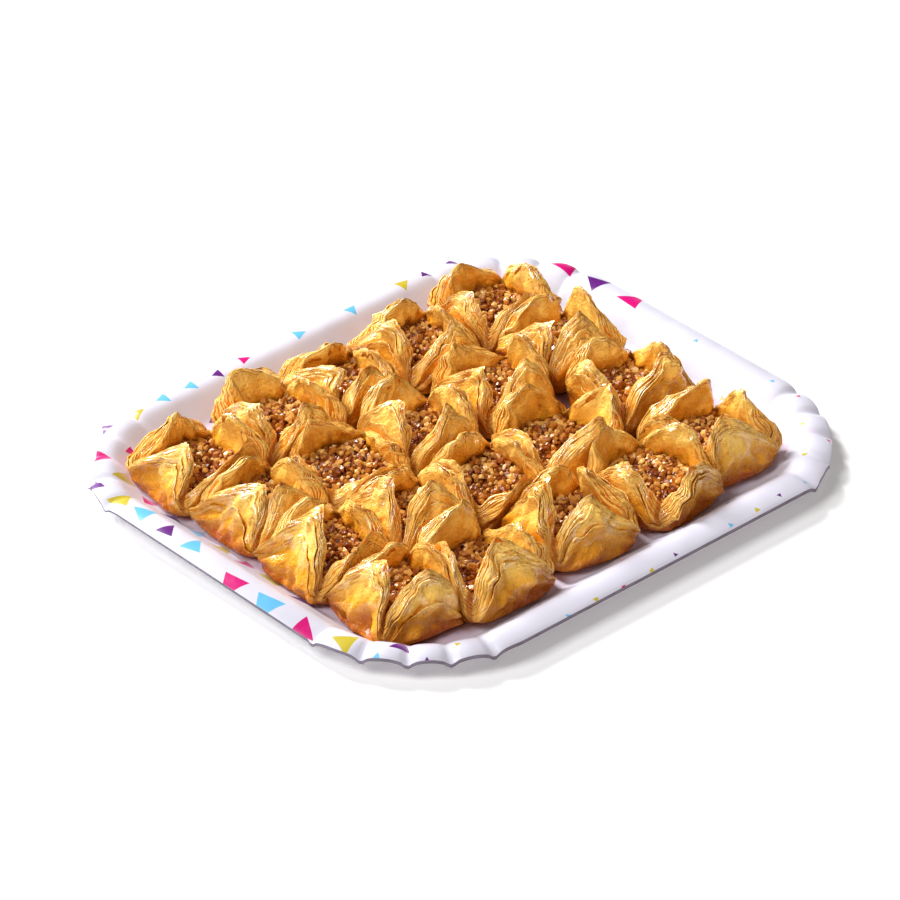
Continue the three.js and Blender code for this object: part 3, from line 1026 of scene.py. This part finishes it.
def heapPoints(number, angle, height, reach):
    # a place on the heap, by its share of the way to the nest's inner wall at that height
    nest = nestTable[number]
    floor, _ = nestPoints(number, angle, 0.0, 1.0)
    edge, _ = nestPoints(number, angle, 1.0, 1.0)
    base = plate["thickness"] + fold["gap"]
    level = np.clip((base + height - floor[:, 2]) / (edge[:, 2] - floor[:, 2]), 0, 1)
    wall, _ = nestPoints(number, angle, level, 1.0)
    x = nest[0] + (wall[:, 0] - nest[0]) * reach
    y = nest[1] + (wall[:, 1] - nest[1]) * reach
    return np.stack([x, y, base + height], axis=1)


def heapTop(reach):
    return heaps["edgeHeight"] + (heaps["height"] - heaps["edgeHeight"]) * (1 - reach ** 2)


def makeHeap(number, kinds):
    draw = np.random.default_rng(7000 + number)
    bpy.ops.mesh.primitive_grid_add(x_subdivisions=heaps["spokes"], y_subdivisions=heaps["rows"],
                                    size=2)
    core = bpy.context.object
    grid = (readPoints(core)[:, :2] + 1) / 2
    angle = grid[:, 0] * 360
    way = grid[:, 1] * heaps["rows"]
    sideRows = heaps["sideRows"]
    reach = np.interp(way, sideRows + [heaps["rows"]], heaps["sideReaches"] + [0])
    heights = [heaps["floor"]] * 2 + heaps["sideHeights"] + [heaps["edgeHeight"]]
    height = np.where(way > sideRows[-1], heapTop(reach), np.interp(way, sideRows, heights))
    points = heapPoints(number, angle, height, reach)
    points[:, 2] += heaps["relief"] * ripple(points, 1.9, 40 + number) * (way > sideRows[2])
    writePoints(core, points * millimetre)
    editAll()
    bpy.ops.mesh.remove_doubles(threshold=0.02 * millimetre)
    bpy.ops.object.mode_set(mode="OBJECT")
    # the core is dark, as painted shade in the gaps between the bits
    setTone(core, heaps["coreShadeTone"])

    reaches = np.sqrt(draw.uniform(0, 0.92, heaps["tries"]))
    spots = heapPoints(number, draw.uniform(0, 360, heaps["tries"]), heapTop(reaches), reaches)
    pieces = [core]
    taken = np.zeros((0, 3))
    for count, spot in enumerate(spots):
        late = count > heaps["tries"] * heaps["late"]
        spacing = heaps["spacing"] * (heaps["lateSpacing"] if late else 1)
        if len(pieces) > heaps["bits"] or (np.linalg.norm(taken - spot, axis=1) < spacing).any():
            continue
        taken = np.vstack([taken, spot])
        size = draw.uniform(*heaps["bitSize"])
        spot[2] += 0.3 * size + (heaps["lateRise"] * draw.uniform() if late else 0)
        kind = kinds[draw.integers(len(kinds))]
        bit = kind.copy()
        bit.data = kind.data.copy()
        turn = Matrix(np.linalg.qr(draw.normal(size=(3, 3)))[0])
        if turn.determinant() < 0:
            turn = -turn
        stretch = Matrix.Diagonal(draw.uniform(0.8, 1.2, 3)) * size * millimetre
        place = Matrix.Translation(Vector(spot) * millimetre)
        bit.data.transform(place @ (turn @ stretch).to_4x4())
        setTone(bit, draw.uniform())
        bpy.context.collection.objects.link(bit)
        pieces.append(bit)
    return joinPieces(pieces, f"choppedNuts{number + 1:02}")


roast = {
    # places on the ramp from the skin of a nut to its flesh, and their colours
    "stops": [(0.0, linear(108, 42, 6)), (0.2, linear(152, 78, 18)),
              (0.55, linear(192, 124, 46)), (0.9, linear(230, 178, 96))],
    "patchiness": 0.5,
    "syrupScale": 500.0,
    "coat": 0.25,
    "coatRoughness": 0.15,
    "specular": 0.35,
    "relief": 0.0004,
}


def makeNutMaterial():
    material, tree, shader = newMaterial("choppedNut")
    place = tree.nodes.new("ShaderNodeTexCoord").outputs["Object"]
    patches = noise(tree, place, 500, detail=2)
    uneven = sums(tree, "MULTIPLY", sums(tree, "SUBTRACT", patches, 0.5), roast["patchiness"])
    mixed = sums(tree, "ADD", attribute(tree, "tone"), uneven)
    syrup = useGroup(tree, syrupGroup, Vector=place, Scale=roast["syrupScale"])
    setInputs(tree, shader, {
        "Base Color": ramp(tree, mixed, roast["stops"]),
        "Roughness": syrup["Roughness"],
        "Coat Weight": sums(tree, "MULTIPLY", syrup["Amount"], roast["coat"]),
        "Coat Roughness": roast["coatRoughness"],
        "Specular IOR Level": roast["specular"],
        "Normal": bump(tree, syrup["Height"], roast["relief"]),
    })
    return material


def makeNuts():
    material = makeNutMaterial()
    kinds = makeBitKinds()
    for number in range(len(nestTable)):
        heap = makeHeap(number, kinds)
        heap.data.materials.clear()
        heap.data.materials.append(material)
        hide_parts(f"nuts_{number + 1:02}")
        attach(heap, "root")
    for kind in kinds:
        bpy.data.objects.remove(kind)


makeNuts()
print("nuts made")
